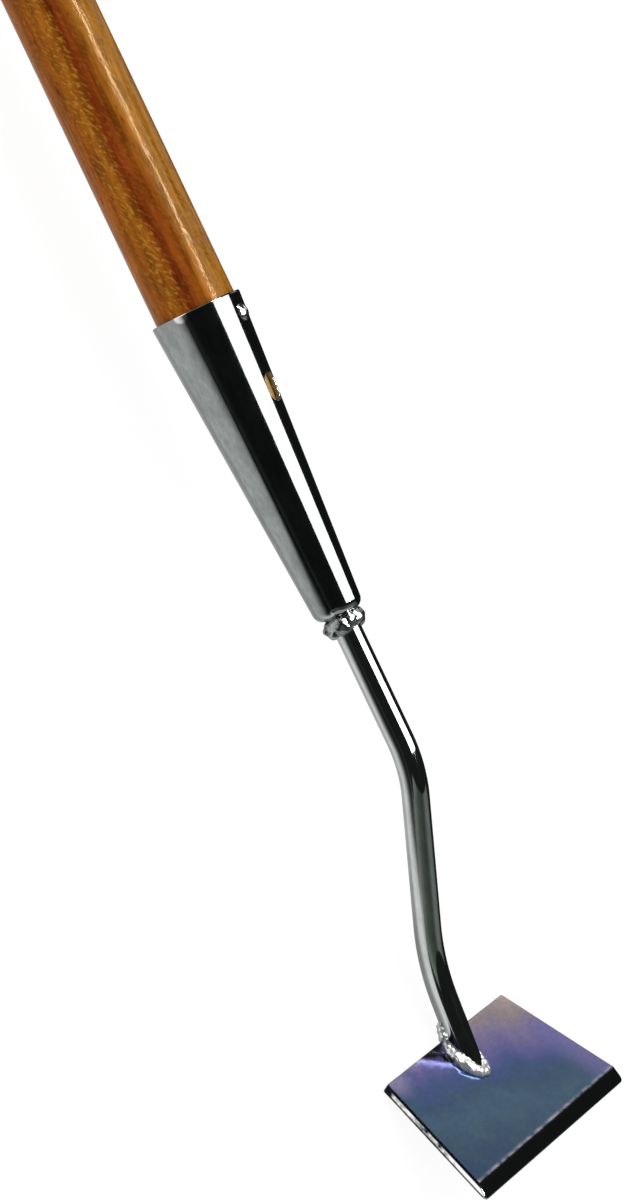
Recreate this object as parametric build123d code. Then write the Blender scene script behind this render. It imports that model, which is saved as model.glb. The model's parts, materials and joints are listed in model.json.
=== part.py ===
from build123d import *
from math import asin, atan2, cos, degrees, pi, radians, sin, tan
import os

# Dutch hoe: a push hoe with a flat bevelled blade on a swan neck, a tapered socket and an ash shaft.
# Sizes are in millimetres and angles in degrees.
# The pieces are drawn in the tool's own frame: the origin is the centre of the socket's mouth,
# X runs down the shaft towards the blade, Z is the upper side and Y runs across the tool.
# The last section lays the finished tool on level ground.

# Ash shaft
shaft_d = 30.0
shaft_length = 1400.0  # bare wood, from the socket's mouth to the butt
butt_round = 9.0
shaft_tip_break = 1.0

# Socket, a tapered tube drawn in at its nose
socket_length = 119.0
socket_wall = 1.6
socket_fit = 0.3  # radial gap between the wood and the tube
nose_d = 18.0  # outside, where the taper would meet the end of the nose
nose_round = 4.0  # drawn in over three narrow bands
rim_break = 0.4
slot_length = 11.0
slot_width = 7.4
slot_from_rim = 35.9  # to the middle of the slot

# Dome-headed pin that holds the shaft in the socket
pin_from_rim = 7.9
pin_head_d = 6.8
pin_head_height = 1.6
pin_shank_d = 2.6
pin_length = 16.0
pin_fit = 0.1  # radial gap round the shank
pin_turn = 6.5  # the pin and the slot stand this far round to the left of the top, seen from the butt

# Swan neck, one bent round bar
bar_d = 10.0
bar_fit = 0.1  # radial gap between the bar and the nose
bar_in_socket = 16.0
bar_end_break = 0.8
tip_gap = 4.0  # between the shaft's tip and the bar's upper end
upper_run = 59.4  # from the socket's end to the corner of the upper bend
middle_run = 73.5
lower_run = 35.6  # down to the blade's top face
upper_drop = 23.1  # how far the middle run falls away from the shaft's line
foot_drop = 5.2  # the same for the lower run
upper_bend_r = 54.0
lower_bend_r = 90.0

# Blade
blade_angle = 30.0  # how far the blade turns up from the shaft's line
blade_depth = 53.4
blade_back_width = 93.0
blade_front_width = 116.6
blade_thickness = 3.4
bevel_width = 5.6
edge_land = 0.8  # thickness left at the cutting edge
front_corner_r = 2.0
back_corner_r = 1.0
blade_edge_break = 0.4
foot_setback = 9.5  # from the blade's back edge to the bar's axis

# Welds, each a run of round ripples
socket_bead_r = 4.4
socket_bead_count = 8
socket_bead_stand = 3.0  # how far the ring stands out from the bar
socket_bead_offset = 3.0  # from the socket's end to the middle of the ring
socket_weld_tilt = 10.0  # the ring lies further down the bar on its underside
socket_weld_turn = 15.0  # of the first ripple round the bar
foot_bead_r = 2.2
foot_bead_count = 12
foot_bead_rise = 0.4  # height of the ring over the blade's top face
foot_weld_shift = 1.15  # the fillet is fuller on the right-hand side, seen from the butt
foot_weld_reach = 0.6  # and fuller at the toe than at the heel
heel_bead_r = 2.1
heel_bead_count = 4
heel_bead_turn = 40.0  # from one bead to the next round the bar's underside
heel_overhang = 0.3  # of the middles of the beads past the blade's back edge
heel_spill = 0.3  # how far the run hangs down from the bar's underside
ripple_swing = 0.07  # how much the ripples of a run differ in size
ripple_rhythm = 2.4
ripple_groove = 0.4  # depth of the grooves between the ripples

shaft_r = shaft_d / 2
bar_r = bar_d / 2
mouth_r = shaft_r + socket_fit + socket_wall
nose_r = nose_d / 2
shaft_tip_x = socket_length - bar_in_socket - tip_gap
pin_line = Rot(-pin_turn, 0, 0)


def socket_r(x):
    """Outside radius of the socket's taper at a distance from its mouth."""
    return mouth_r + (nose_r - mouth_r) * x / socket_length


def turned(*points):
    """A solid of revolution about the X axis, from its outline given as (x, radius) pairs."""
    outline = Polyline(*[(x, 0, r) for x, r in points], close=True)
    return revolve(make_face(outline), Axis.X)


def rings(solid, x, radius):
    """The round edges of a turned solid at one distance and radius."""
    found = [
        edge
        for edge in solid.edges().filter_by(GeomType.CIRCLE)
        if abs(edge.arc_center.X - x) < 1e-4 and abs(edge.radius - radius) < 1e-4
    ]
    return ShapeList(found)


def oval(half_x, half_y, count):
    """Points spread round an oval in the XY plane."""
    turns = [2 * pi * number / count for number in range(count)]
    return [Vector(half_x * cos(turn), half_y * sin(turn)) for turn in turns]


def ripple_r(radius, number):
    """The radius of one ripple of a weld; along the run they are by turns a little larger and smaller."""
    return radius * (1 + ripple_swing * sin(ripple_rhythm * number))


def weld_run(middles, crests, radius):
    """Round ripples at all but the two end points of a line, long enough to meet at their crests."""
    ripples = []
    for number in range(len(middles) - 2):
        along = middles[number + 2] - middles[number]
        length = (crests[number + 2] - crests[number]).length / 2
        ripple = Cylinder(ripple_r(radius, number), length)
        ripples.append(Plane(origin=middles[number + 1], z_dir=along).location * ripple)
    return ripples[0] + ripples[1:]


def weld_ring(half_x, half_y, radius, count):
    """A closed run of round ripples along an oval."""
    groove_r = radius - ripple_groove
    middles = oval(half_x, half_y, count)
    crests = oval(half_x + groove_r, half_y + groove_r, count)
    return weld_run([middles[-1], *middles, middles[0]], [crests[-1], *crests, crests[0]], radius)


# Lines of the swan neck and the blade in the tool's plane of symmetry
upper_way = Vector(cos(radians(upper_drop)), 0, -sin(radians(upper_drop)))
foot_way = Vector(cos(radians(foot_drop)), 0, -sin(radians(foot_drop)))
blade_way = Vector(cos(radians(blade_angle)), 0, sin(radians(blade_angle)))
bar_top = Vector(socket_length - bar_in_socket, 0, 0)
upper_corner = Vector(socket_length + upper_run, 0, 0)
lower_corner = upper_corner + upper_way * middle_run
foot_centre = lower_corner + foot_way * lower_run
back_edge = foot_centre - blade_way * foot_setback
foot_angle = blade_angle + foot_drop
foot_half_length = bar_r / sin(radians(foot_angle))

# The blade's top face: x runs from the back edge to the cutting edge and y across the blade
blade_top = Plane(origin=back_edge, x_dir=blade_way, z_dir=blade_way.cross(Vector(0, 1, 0)))


def make_pin():
    """The pin, its head domed in two bands; the socket is cut away from under the head when it is seated."""
    head_r = pin_head_d / 2
    shank_r = pin_shank_d / 2
    pin = turned(
        (-pin_length, 0),
        (-pin_length, shank_r),
        (-socket_wall, shank_r),
        (-socket_wall, head_r),
        (0, head_r),
        (pin_head_height / 2, 0.74 * head_r),
        (pin_head_height, 0.28 * head_r),
        (pin_head_height, 0),
    )
    return pin_line * Pos(pin_from_rim, 0, socket_r(pin_from_rim)) * Rot(0, -90, 0) * pin


def make_pin_hole():
    """The hole for the pin's shank through the socket's wall and into the wood."""
    depth = pin_length + pin_fit
    drill = Cylinder(pin_shank_d / 2 + pin_fit, depth + mouth_r, align=(Align.CENTER, Align.CENTER, Align.MIN))
    return pin_line * Pos(pin_from_rim, 0, socket_r(pin_from_rim) - depth) * drill


def make_shaft():
    """The round shaft: a rounded butt, a straight grip and a tapered tip that fills the socket."""
    tip_r = socket_r(shaft_tip_x) - socket_wall - socket_fit
    wood = turned(
        (-shaft_length, 0), (-shaft_length, shaft_r), (0, shaft_r), (shaft_tip_x, tip_r), (shaft_tip_x, 0)
    )
    wood = fillet(rings(wood, -shaft_length, shaft_r), butt_round)
    wood = chamfer(rings(wood, shaft_tip_x, tip_r), shaft_tip_break)
    return wood - make_pin_hole()


def make_socket():
    """The tapered tube with its drawn-in nose, the oblong slot and the hole for the pin."""
    bore_end = socket_length - socket_wall
    nose_start = socket_length - nose_round
    turns = [radians(30 * band) for band in range(4)]
    nose = [
        (nose_start + nose_round * sin(turn), socket_r(nose_start) - nose_round * (1 - cos(turn)))
        for turn in turns
    ]
    outside = turned((0, 0), (0, mouth_r), *nose, (socket_length, 0))
    bore_end_r = socket_r(bore_end) - socket_wall
    inside = turned((0, 0), (0, mouth_r - socket_wall), (bore_end, bore_end_r), (bore_end, 0))
    inside = chamfer(rings(inside, bore_end, bore_end_r), nose_round / 2)
    tube = outside - inside
    tube = chamfer(rings(tube, 0, mouth_r) + rings(tube, 0, mouth_r - socket_wall), rim_break)
    tube -= Rot(0, 90, 0) * Cylinder(bar_r + bar_fit, 4 * socket_length)
    slot = extrude(Pos(slot_from_rim, 0, 0) * SlotOverall(slot_length, slot_width), amount=mouth_r + 1)
    return tube - pin_line * slot - make_pin_hole()


def make_neck():
    """The bent bar, cut off at a slant where it stands on the blade."""
    past_blade = foot_centre + foot_way * 2 * foot_half_length
    route = FilletPolyline(
        bar_top, upper_corner, lower_corner, past_blade, radius=[upper_bend_r, lower_bend_r]
    )
    bar = sweep(Plane(origin=bar_top, z_dir=(1, 0, 0)) * Circle(bar_r), path=route)
    bar = chamfer(rings(bar, bar_top.X, bar_r), bar_end_break)
    return split(bar, bisect_by=blade_top, keep=Keep.TOP)


def make_blade():
    """The trapezoid plate, its top ground away to a thin cutting edge along the front."""
    outline = Polygon(
        (0, -blade_back_width / 2),
        (blade_depth, -blade_front_width / 2),
        (blade_depth, blade_front_width / 2),
        (0, blade_back_width / 2),
        align=None,
    )
    corners = outline.vertices().sort_by(Axis.X)
    outline = fillet(corners[2:], front_corner_r)
    outline = fillet(outline.vertices().group_by(Axis.X)[0], back_corner_r)
    plate = extrude(outline, amount=-blade_thickness)
    rims = plate.faces().sort_by(Axis.Z)[0].edges() + plate.faces().sort_by(Axis.Z)[-1].edges()
    plate = chamfer(rims, blade_edge_break)
    bevel_start = blade_depth - bevel_width
    ground = Polyline(
        (bevel_start, 0, 0),
        (blade_depth, 0, edge_land - blade_thickness),
        (blade_depth + bevel_width, 0, edge_land - blade_thickness),
        (blade_depth + bevel_width, 0, blade_thickness),
        (bevel_start, 0, blade_thickness),
        close=True,
    )
    plate -= extrude(make_face(ground), amount=blade_front_width, both=True)
    return blade_top * plate


def make_socket_weld():
    """The ring of weld in the corner between the socket's nose and the bar."""
    ring_r = bar_r + socket_bead_stand - socket_bead_r
    ring = weld_ring(ring_r, ring_r, socket_bead_r, socket_bead_count)
    upright = Rot(0, 90 - socket_weld_tilt, 0) * Rot(0, 0, socket_weld_turn)
    return Pos(socket_length + socket_bead_offset, 0, 0) * upright * ring


def make_foot_weld():
    """The fillet along the oval where the slanted bar stands on the blade."""
    ring = weld_ring(foot_half_length, bar_r, foot_bead_r, foot_bead_count)
    return blade_top * Pos(foot_setback + foot_weld_reach, -foot_weld_shift, foot_bead_rise) * ring


def make_heel_weld():
    """The run that follows the bar's round underside at the heel and spills over the blade's back edge."""
    slant = radians(foot_angle)
    axis_height = foot_setback * tan(slant) - heel_spill
    half_height = bar_r / cos(slant)
    groove_r = heel_bead_r - ripple_groove
    first = -heel_bead_turn * (heel_bead_count + 1) / 2
    turns = [radians(first + heel_bead_turn * number) for number in range(heel_bead_count + 2)]
    middles = [Vector(0, bar_r * sin(turn), -half_height * cos(turn)) for turn in turns]
    crests = [Vector(0, (bar_r + groove_r) * sin(turn), -(half_height + groove_r) * cos(turn)) for turn in turns]
    return blade_top * Pos(-heel_overhang, 0, axis_height) * weld_run(middles, crests, heel_bead_r)


def lay_on_ground(pieces):
    """Turn and move the pieces so that the blade's heel and the shaft's butt rest on level ground."""
    butt_middle = Vector(butt_round - shaft_length, 0, butt_round - shaft_r)
    heel = blade_top.from_local_coords((blade_edge_break, 0, -blade_thickness))
    reach = heel - butt_middle
    pitch = -asin(butt_round / reach.length) - atan2(reach.Z, reach.X)
    pitched = {name: Rot(0, -degrees(pitch), 0) * piece for name, piece in pieces.items()}
    box = Compound(list(pitched.values())).bounding_box()
    to_ground = Pos(-box.center().X, -box.center().Y, -box.min.Z)
    return {name: to_ground * piece for name, piece in pitched.items()}


def make_pieces():
    """Every piece of the hoe by name, each cut to fit what it is welded or seated on."""
    socket = make_socket()
    neck = make_neck()
    blade = make_blade()
    foot_weld = make_foot_weld() - neck - blade
    return {
        "ash_shaft": make_shaft(),
        "socket": socket,
        "socket_pin": make_pin() - socket,
        "swan_neck": neck,
        "blade": blade,
        "socket_weld": make_socket_weld() - socket - neck,
        "foot_weld": foot_weld,
        "heel_weld": make_heel_weld() - neck - blade - foot_weld,
    }


os.makedirs("parts", exist_ok=True)
for name, piece in lay_on_ground(make_pieces()).items():
    export_step(piece, f"parts/{name}.step")
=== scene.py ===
import json
import math

import bmesh
import bpy
from bpy.props import FloatProperty, FloatVectorProperty, IntProperty, PointerProperty
from mathutils import Euler, Matrix, Vector, noise


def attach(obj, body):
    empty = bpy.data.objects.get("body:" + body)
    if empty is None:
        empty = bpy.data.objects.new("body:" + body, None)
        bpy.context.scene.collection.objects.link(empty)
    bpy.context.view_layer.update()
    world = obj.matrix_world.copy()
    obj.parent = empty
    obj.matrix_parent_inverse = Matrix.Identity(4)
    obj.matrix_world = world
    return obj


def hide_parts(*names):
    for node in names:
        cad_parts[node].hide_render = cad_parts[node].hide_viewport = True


bl_info = {
    "name": "Dutch hoe",
    "version": (1, 0, 0),
    "blender": (4, 5, 0),
    "location": "3D View > Sidebar > Hoe",
    "description": "Builds a dutch hoe: ash shaft, polished socket, swan neck, welded blade and its studio",
    "category": "Object",
}

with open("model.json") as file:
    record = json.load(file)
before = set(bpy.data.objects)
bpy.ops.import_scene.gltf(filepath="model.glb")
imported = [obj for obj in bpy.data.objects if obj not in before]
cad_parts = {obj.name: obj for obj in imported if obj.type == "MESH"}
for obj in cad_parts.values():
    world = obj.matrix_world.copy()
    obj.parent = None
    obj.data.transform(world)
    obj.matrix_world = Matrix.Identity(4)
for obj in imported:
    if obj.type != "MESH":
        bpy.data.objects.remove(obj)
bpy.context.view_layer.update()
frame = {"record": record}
MOUNTS = {mount["name"]: mount for mount in frame["record"]["mounts"]}


def tool_place():
    """The tool's own frame: its origin is the middle of the socket's mouth and X runs down the shaft."""
    grip = MOUNTS["shaft_grip"]
    down = -Vector(grip["axis"])
    mouth = Vector(grip["pos_m"]) + down * grip["dims"]["length_mm"] / 2000
    across = Vector((0, 1, 0))
    turn = Matrix((down, across, down.cross(across))).transposed()
    return Matrix.Translation(mouth) @ turn.to_4x4()


def blade_place(depth, thickness):
    """The blade's own frame: its origin is the middle of the back edge on the top face."""
    sole = MOUNTS["blade_sole"]
    up = -Vector(sole["axis"])
    across = Vector((0, 1, 0))
    forward = across.cross(up)
    edge = Vector(sole["pos_m"]) - forward * depth / 2 + up * thickness
    turn = Matrix((forward, across, up)).transposed()
    return Matrix.Translation(edge) @ turn.to_4x4()


# Sizes and colours that a user would change


class ShaftSettings(bpy.types.PropertyGroup):
    diameter: FloatProperty(name="Diameter", description="Diameter of the round shaft", default=0.030, unit="LENGTH")
    length: FloatProperty(
        name="Bare length", description="From the socket's mouth to the butt", default=1.400, unit="LENGTH"
    )
    butt_round: FloatProperty(name="Butt round", description="Radius of the butt's edge", default=0.009, unit="LENGTH")
    tip_distance: FloatProperty(
        name="Tip", description="How far the tapered tip reaches into the socket", default=0.099, unit="LENGTH"
    )
    tip_diameter: FloatProperty(
        name="Tip diameter", description="Diameter at the hidden tip", default=0.0168, unit="LENGTH"
    )
    grain_width: FloatProperty(
        name="Grain width", description="Spacing of the fine grain across the shaft", default=0.0012, unit="LENGTH"
    )
    grain_length: FloatProperty(
        name="Grain length", description="Length of a fine grain line", default=0.045, unit="LENGTH"
    )
    fleck: FloatVectorProperty(
        name="Flecks", description="Tone of the pale flecks under the varnish", subtype="COLOR", default=(0.45, 0.215, 0.028)
    )


class SocketSettings(bpy.types.PropertyGroup):
    length: FloatProperty(name="Length", description="Length of the socket", default=0.119, unit="LENGTH")
    mouth_diameter: FloatProperty(
        name="Mouth diameter", description="Outside diameter at the mouth", default=0.0338, unit="LENGTH"
    )
    nose_diameter: FloatProperty(
        name="Nose diameter", description="Where the taper would meet the nose's end", default=0.018, unit="LENGTH"
    )
    wall: FloatProperty(name="Wall", description="Thickness of the tube", default=0.0016, unit="LENGTH")
    nose_round: FloatProperty(name="Nose round", description="Radius of the drawn-in nose", default=0.004, unit="LENGTH")
    slot_length: FloatProperty(name="Slot length", description="Length of the oblong slot", default=0.011, unit="LENGTH")
    slot_width: FloatProperty(name="Slot width", description="Width of the oblong slot", default=0.0074, unit="LENGTH")
    slot_distance: FloatProperty(
        name="Slot place", description="From the mouth to the slot's middle", default=0.0359, unit="LENGTH"
    )
    pin_distance: FloatProperty(
        name="Pin place", description="From the mouth to the pin's middle", default=0.0079, unit="LENGTH"
    )
    pin_diameter: FloatProperty(name="Pin head", description="Diameter of the pin's head", default=0.0068, unit="LENGTH")
    pin_height: FloatProperty(name="Pin height", description="Height of the pin's dome", default=0.0016, unit="LENGTH")
    pin_turn: FloatProperty(
        name="Pin turn",
        description="How far round from the top the pin and the slot stand",
        default=math.radians(6.5),
        subtype="ANGLE",
    )


class NeckSettings(bpy.types.PropertyGroup):
    diameter: FloatProperty(name="Diameter", description="Diameter of the round bar", default=0.010, unit="LENGTH")
    hidden: FloatProperty(name="In the socket", description="Length inside the socket", default=0.016, unit="LENGTH")
    upper_run: FloatProperty(
        name="Upper run", description="From the socket's end to the upper corner", default=0.0594, unit="LENGTH"
    )
    middle_run: FloatProperty(name="Middle run", description="Between the two corners", default=0.0735, unit="LENGTH")
    lower_run: FloatProperty(name="Lower run", description="Down to the blade", default=0.0356, unit="LENGTH")
    upper_drop: FloatProperty(
        name="Upper drop", description="Fall of the middle run", default=math.radians(23.1), subtype="ANGLE"
    )
    foot_drop: FloatProperty(
        name="Foot drop", description="Fall of the lower run", default=math.radians(5.2), subtype="ANGLE"
    )
    upper_bend: FloatProperty(name="Upper bend", description="Radius of the upper bend", default=0.054, unit="LENGTH")
    lower_bend: FloatProperty(name="Lower bend", description="Radius of the lower bend", default=0.090, unit="LENGTH")


class BladeSettings(bpy.types.PropertyGroup):
    depth: FloatProperty(name="Depth", description="From the back edge to the front", default=0.0534, unit="LENGTH")
    back_width: FloatProperty(name="Back width", description="Width at the back", default=0.093, unit="LENGTH")
    front_width: FloatProperty(name="Front width", description="Width at the front", default=0.1166, unit="LENGTH")
    thickness: FloatProperty(name="Thickness", description="Thickness of the plate", default=0.0034, unit="LENGTH")
    bevel: FloatProperty(name="Ground bevel", description="Width of the ground bevel", default=0.0056, unit="LENGTH")
    land: FloatProperty(name="Edge", description="Thickness left at the edge", default=0.0008, unit="LENGTH")
    front_round: FloatProperty(
        name="Front corners", description="Radius of the front corners", default=0.002, unit="LENGTH"
    )
    back_round: FloatProperty(
        name="Back corners", description="Radius of the back corners", default=0.001, unit="LENGTH"
    )
    edge_break: FloatProperty(
        name="Broken edges", description="Radius of the plate's long edges", default=0.0004, unit="LENGTH"
    )
    setback: FloatProperty(
        name="Foot place", description="From the back edge to the bar's middle", default=0.0095, unit="LENGTH"
    )


class WeldSettings(bpy.types.PropertyGroup):
    voxel: FloatProperty(
        name="Grain", description="Finest detail of the melted beads", default=0.00022, precision=5, unit="LENGTH"
    )
    seed: IntProperty(name="Seed", description="Changes the lumps of the beads", default=4)


class StudioSettings(bpy.types.PropertyGroup):
    lamp_height: FloatProperty(name="Lamp height", description="Height of the soft box", default=1.05, unit="LENGTH")
    lamp_level: FloatProperty(name="Soft box", description="Light of the soft box, 1 is white", default=0.24)
    fill: FloatProperty(name="Fill", description="Light of the bright room, 1 is white", default=0.92)
    card_level: FloatProperty(name="Card", description="Brightness of the card that the steel mirrors", default=4.2)
    tube_level: FloatProperty(name="Tube", description="Brightness of the tube that the varnish mirrors", default=76.0)
    floor: FloatVectorProperty(
        name="Floor", description="Colour of the floor", subtype="COLOR", default=(1.0, 1.0, 1.0)
    )


# Materials


def linear(code):
    """A linear colour from an sRGB hex code."""
    parts = [int(code[start : start + 2], 16) / 255 for start in (0, 2, 4)]
    return [part / 12.92 if part <= 0.04045 else ((part + 0.055) / 1.055) ** 2.4 for part in parts] + [1.0]


def add_node(tree, kind, settings=None, inputs=None):
    """Add a node, set its properties, and set or link its inputs."""
    node = tree.nodes.new(kind)
    for name, value in (settings or {}).items():
        setattr(node, name, value)
    for name, value in (inputs or {}).items():
        if isinstance(value, bpy.types.NodeSocket):
            tree.links.new(value, node.inputs[name])
        else:
            node.inputs[name].default_value = value
    return node


def set_stops(ramp, stops):
    """Give a colour ramp its stops, as (position, hex code or grey) pairs."""
    elements = ramp.color_ramp.elements
    while len(elements) < len(stops):
        elements.new(0.5)
    for element, (position, tone) in zip(elements, stops):
        element.position = position
        element.color = linear(tone) if isinstance(tone, str) else (tone, tone, tone, 1.0)


def new_material(name):
    """An empty node material and its tree."""
    material = bpy.data.materials.new(name)
    material.use_nodes = True
    material.node_tree.nodes.clear()
    return material, material.node_tree


def local_point(tree, place):
    """Object coordinates seen from a frame of the tool, so a pattern follows the piece."""
    where = add_node(tree, "ShaderNodeTexCoord")
    location, turn, _ = place.decompose()
    return add_node(
        tree,
        "ShaderNodeMapping",
        {"vector_type": "TEXTURE"},
        {"Vector": where.outputs["Object"], "Location": location, "Rotation": turn.to_euler()},
    ).outputs["Vector"]


def axial(tree, point):
    """How far down the tool a point lies."""
    return add_node(tree, "ShaderNodeSeparateXYZ", {}, {"Vector": point}).outputs["X"]


def stretched(tree, point, scale):
    """The same point with its axes scaled, for streaks."""
    return add_node(tree, "ShaderNodeMapping", {}, {"Vector": point, "Scale": scale}).outputs["Vector"]


def varnished_ash(shaft):
    """Ash stained orange-brown under varnish: reddish streaks, pale ray flecks and one warm line of shine."""
    material, tree = new_material("varnished_ash")
    point = local_point(tree, tool_place())
    parts = add_node(tree, "ShaderNodeSeparateXYZ", {}, {"Vector": point})
    toward = add_node(tree, "ShaderNodeMath", {"operation": "MULTIPLY"}, {0: parts.outputs["Y"], 1: -1.0})
    around = add_node(tree, "ShaderNodeMath", {"operation": "ARCTAN2"}, {0: parts.outputs["Z"], 1: toward.outputs[0]})
    arc = add_node(
        tree, "ShaderNodeMath", {"operation": "MULTIPLY"}, {0: around.outputs[0], 1: shaft.diameter / 2}
    )
    unrolled = add_node(tree, "ShaderNodeCombineXYZ", {}, {"X": parts.outputs["X"], "Y": arc.outputs[0]})
    # the streaks wander by a few millimetres over 100 mm of length
    wander = add_node(
        tree, "ShaderNodeTexNoise", {}, {"Vector": stretched(tree, point, (13, 60, 60)), "Scale": 1.0, "Detail": 3.0}
    )
    shift = add_node(tree, "ShaderNodeMapRange", {}, {"Value": wander.outputs["Fac"], "To Min": -0.36, "To Max": 0.36})
    turned_by = add_node(tree, "ShaderNodeMath", {"operation": "ADD"}, {0: around.outputs[0], 1: shift.outputs[0]})
    place = add_node(
        tree, "ShaderNodeMapRange", {}, {"Value": turned_by.outputs[0], "From Min": -math.pi, "From Max": math.pi}
    )
    streaks = add_node(tree, "ShaderNodeValToRGB", {}, {"Fac": place.outputs[0]})
    set_stops(
        streaks,
        [
            (0.00, "A0601A"),
            (0.20, "A25D16"),
            (0.36, "A05C14"),
            (0.43, "975210"),
            (0.475, "8C490D"),
            (0.52, "9A5A16"),
            (0.55, "82430F"),
            (0.575, "6C280C"),
            (0.60, "843E12"),
            (0.625, "864610"),
            (0.65, "9C5E1A"),
            (0.69, "9C641A"),
            (0.74, "9C6416"),
            (0.84, "9A6216"),
            (1.00, "A0601A"),
        ],
    )
    # fine long grain, about 1 mm wide and 45 mm long, and shorter blotches of stain
    width, length = shaft.grain_width, shaft.grain_length
    grain = add_node(
        tree,
        "ShaderNodeTexNoise",
        {},
        {"Vector": stretched(tree, point, (1 / length, 1 / width, 1 / width)), "Scale": 1.0, "Detail": 4.0},
    )
    grain_tone = add_node(tree, "ShaderNodeValToRGB", {}, {"Fac": grain.outputs["Fac"]})
    set_stops(grain_tone, [(0.30, 0.60), (0.50, 1.02), (0.70, 1.30)])
    blotch = add_node(
        tree, "ShaderNodeTexNoise", {}, {"Vector": stretched(tree, point, (75, 330, 330)), "Scale": 1.0, "Detail": 3.0}
    )
    blotch_tone = add_node(tree, "ShaderNodeValToRGB", {}, {"Fac": blotch.outputs["Fac"]})
    set_stops(blotch_tone, [(0.32, 0.60), (0.50, 1.02), (0.68, 1.28)])
    wood = add_node(
        tree,
        "ShaderNodeMix",
        {"data_type": "RGBA", "blend_type": "MULTIPLY"},
        {"Factor": 0.55, 6: streaks.outputs["Color"], 7: grain_tone.outputs["Color"]},
    )
    stained = add_node(
        tree,
        "ShaderNodeMix",
        {"data_type": "RGBA", "blend_type": "MULTIPLY"},
        {"Factor": 0.8, 6: wood.outputs[2], 7: blotch_tone.outputs["Color"]},
    )
    # pale ray flecks: slanted strokes, about 2 mm by 0.5 mm, in a band along the near side
    stroke = add_node(
        tree,
        "ShaderNodeMapping",
        {"vector_type": "TEXTURE"},
        {"Vector": unrolled.outputs[0], "Rotation": (0, 0, math.radians(32)), "Scale": (0.0026, 0.0010, 1)},
    )
    fleck = add_node(
        tree, "ShaderNodeTexNoise", {}, {"Vector": stroke.outputs["Vector"], "Scale": 1.0, "Detail": 1.0}
    )
    fleck_size = add_node(
        tree,
        "ShaderNodeMapRange",
        {"interpolation_type": "SMOOTHSTEP"},
        {"Value": fleck.outputs["Fac"], "From Min": 0.50, "From Max": 0.66, "To Max": 0.75},
    )
    fleck_band = add_node(tree, "ShaderNodeValToRGB", {}, {"Fac": place.outputs[0]})
    set_stops(
        fleck_band,
        [(0.40, 0.25), (0.48, 0.45), (0.515, 1.0), (0.548, 0.9), (0.575, 0.15), (0.66, 0.2), (0.72, 0.6), (0.85, 0.4)],
    )
    flecked = add_node(
        tree, "ShaderNodeMath", {"operation": "MULTIPLY"}, {0: fleck_band.outputs["Color"], 1: fleck_size.outputs[0]}
    )
    gold = add_node(
        tree,
        "ShaderNodeMix",
        {"data_type": "RGBA"},
        {"Factor": flecked.outputs[0], 6: stained.outputs[2], 7: (*shaft.fleck, 1.0)},
    )
    # dark pores, short dashes about 4 mm long
    pores = add_node(
        tree, "ShaderNodeTexNoise", {}, {"Vector": stretched(tree, point, (230, 720, 720)), "Scale": 1.0, "Detail": 2.0}
    )
    pore_depth = add_node(
        tree, "ShaderNodeMapRange", {}, {"Value": pores.outputs["Fac"], "From Min": 0.62, "From Max": 0.72, "To Max": 0.55}
    )
    colour = add_node(
        tree,
        "ShaderNodeMix",
        {"data_type": "RGBA"},
        {"Factor": pore_depth.outputs[0], 6: gold.outputs[2], 7: linear("541A08")},
    )
    # inside the socket the wood is bare and pale
    bare = add_node(
        tree, "ShaderNodeMapRange", {}, {"Value": parts.outputs["X"], "From Min": 0.001, "From Max": 0.002, "To Max": 0.9}
    )
    colour = add_node(
        tree,
        "ShaderNodeMix",
        {"data_type": "RGBA"},
        {"Factor": bare.outputs[0], 6: colour.outputs[2], 7: linear("C8A062")},
    )
    rough = add_node(
        tree, "ShaderNodeMapRange", {}, {"Value": blotch.outputs["Fac"], "To Min": 0.07, "To Max": 0.26}
    )
    bump = add_node(
        tree, "ShaderNodeBump", {}, {"Height": blotch.outputs["Fac"], "Strength": 0.40, "Distance": 0.0006}
    )
    shader = add_node(
        tree,
        "ShaderNodeBsdfPrincipled",
        {},
        {
            "Base Color": colour.outputs[2],
            "Roughness": rough.outputs[0],
            "Specular IOR Level": 0.10,
            "Specular Tint": linear("FFE0B0"),
            "Normal": bump.outputs["Normal"],
        },
    )
    add_node(tree, "ShaderNodeOutputMaterial", {}, {"Surface": shader.outputs[0]})
    return material


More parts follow.
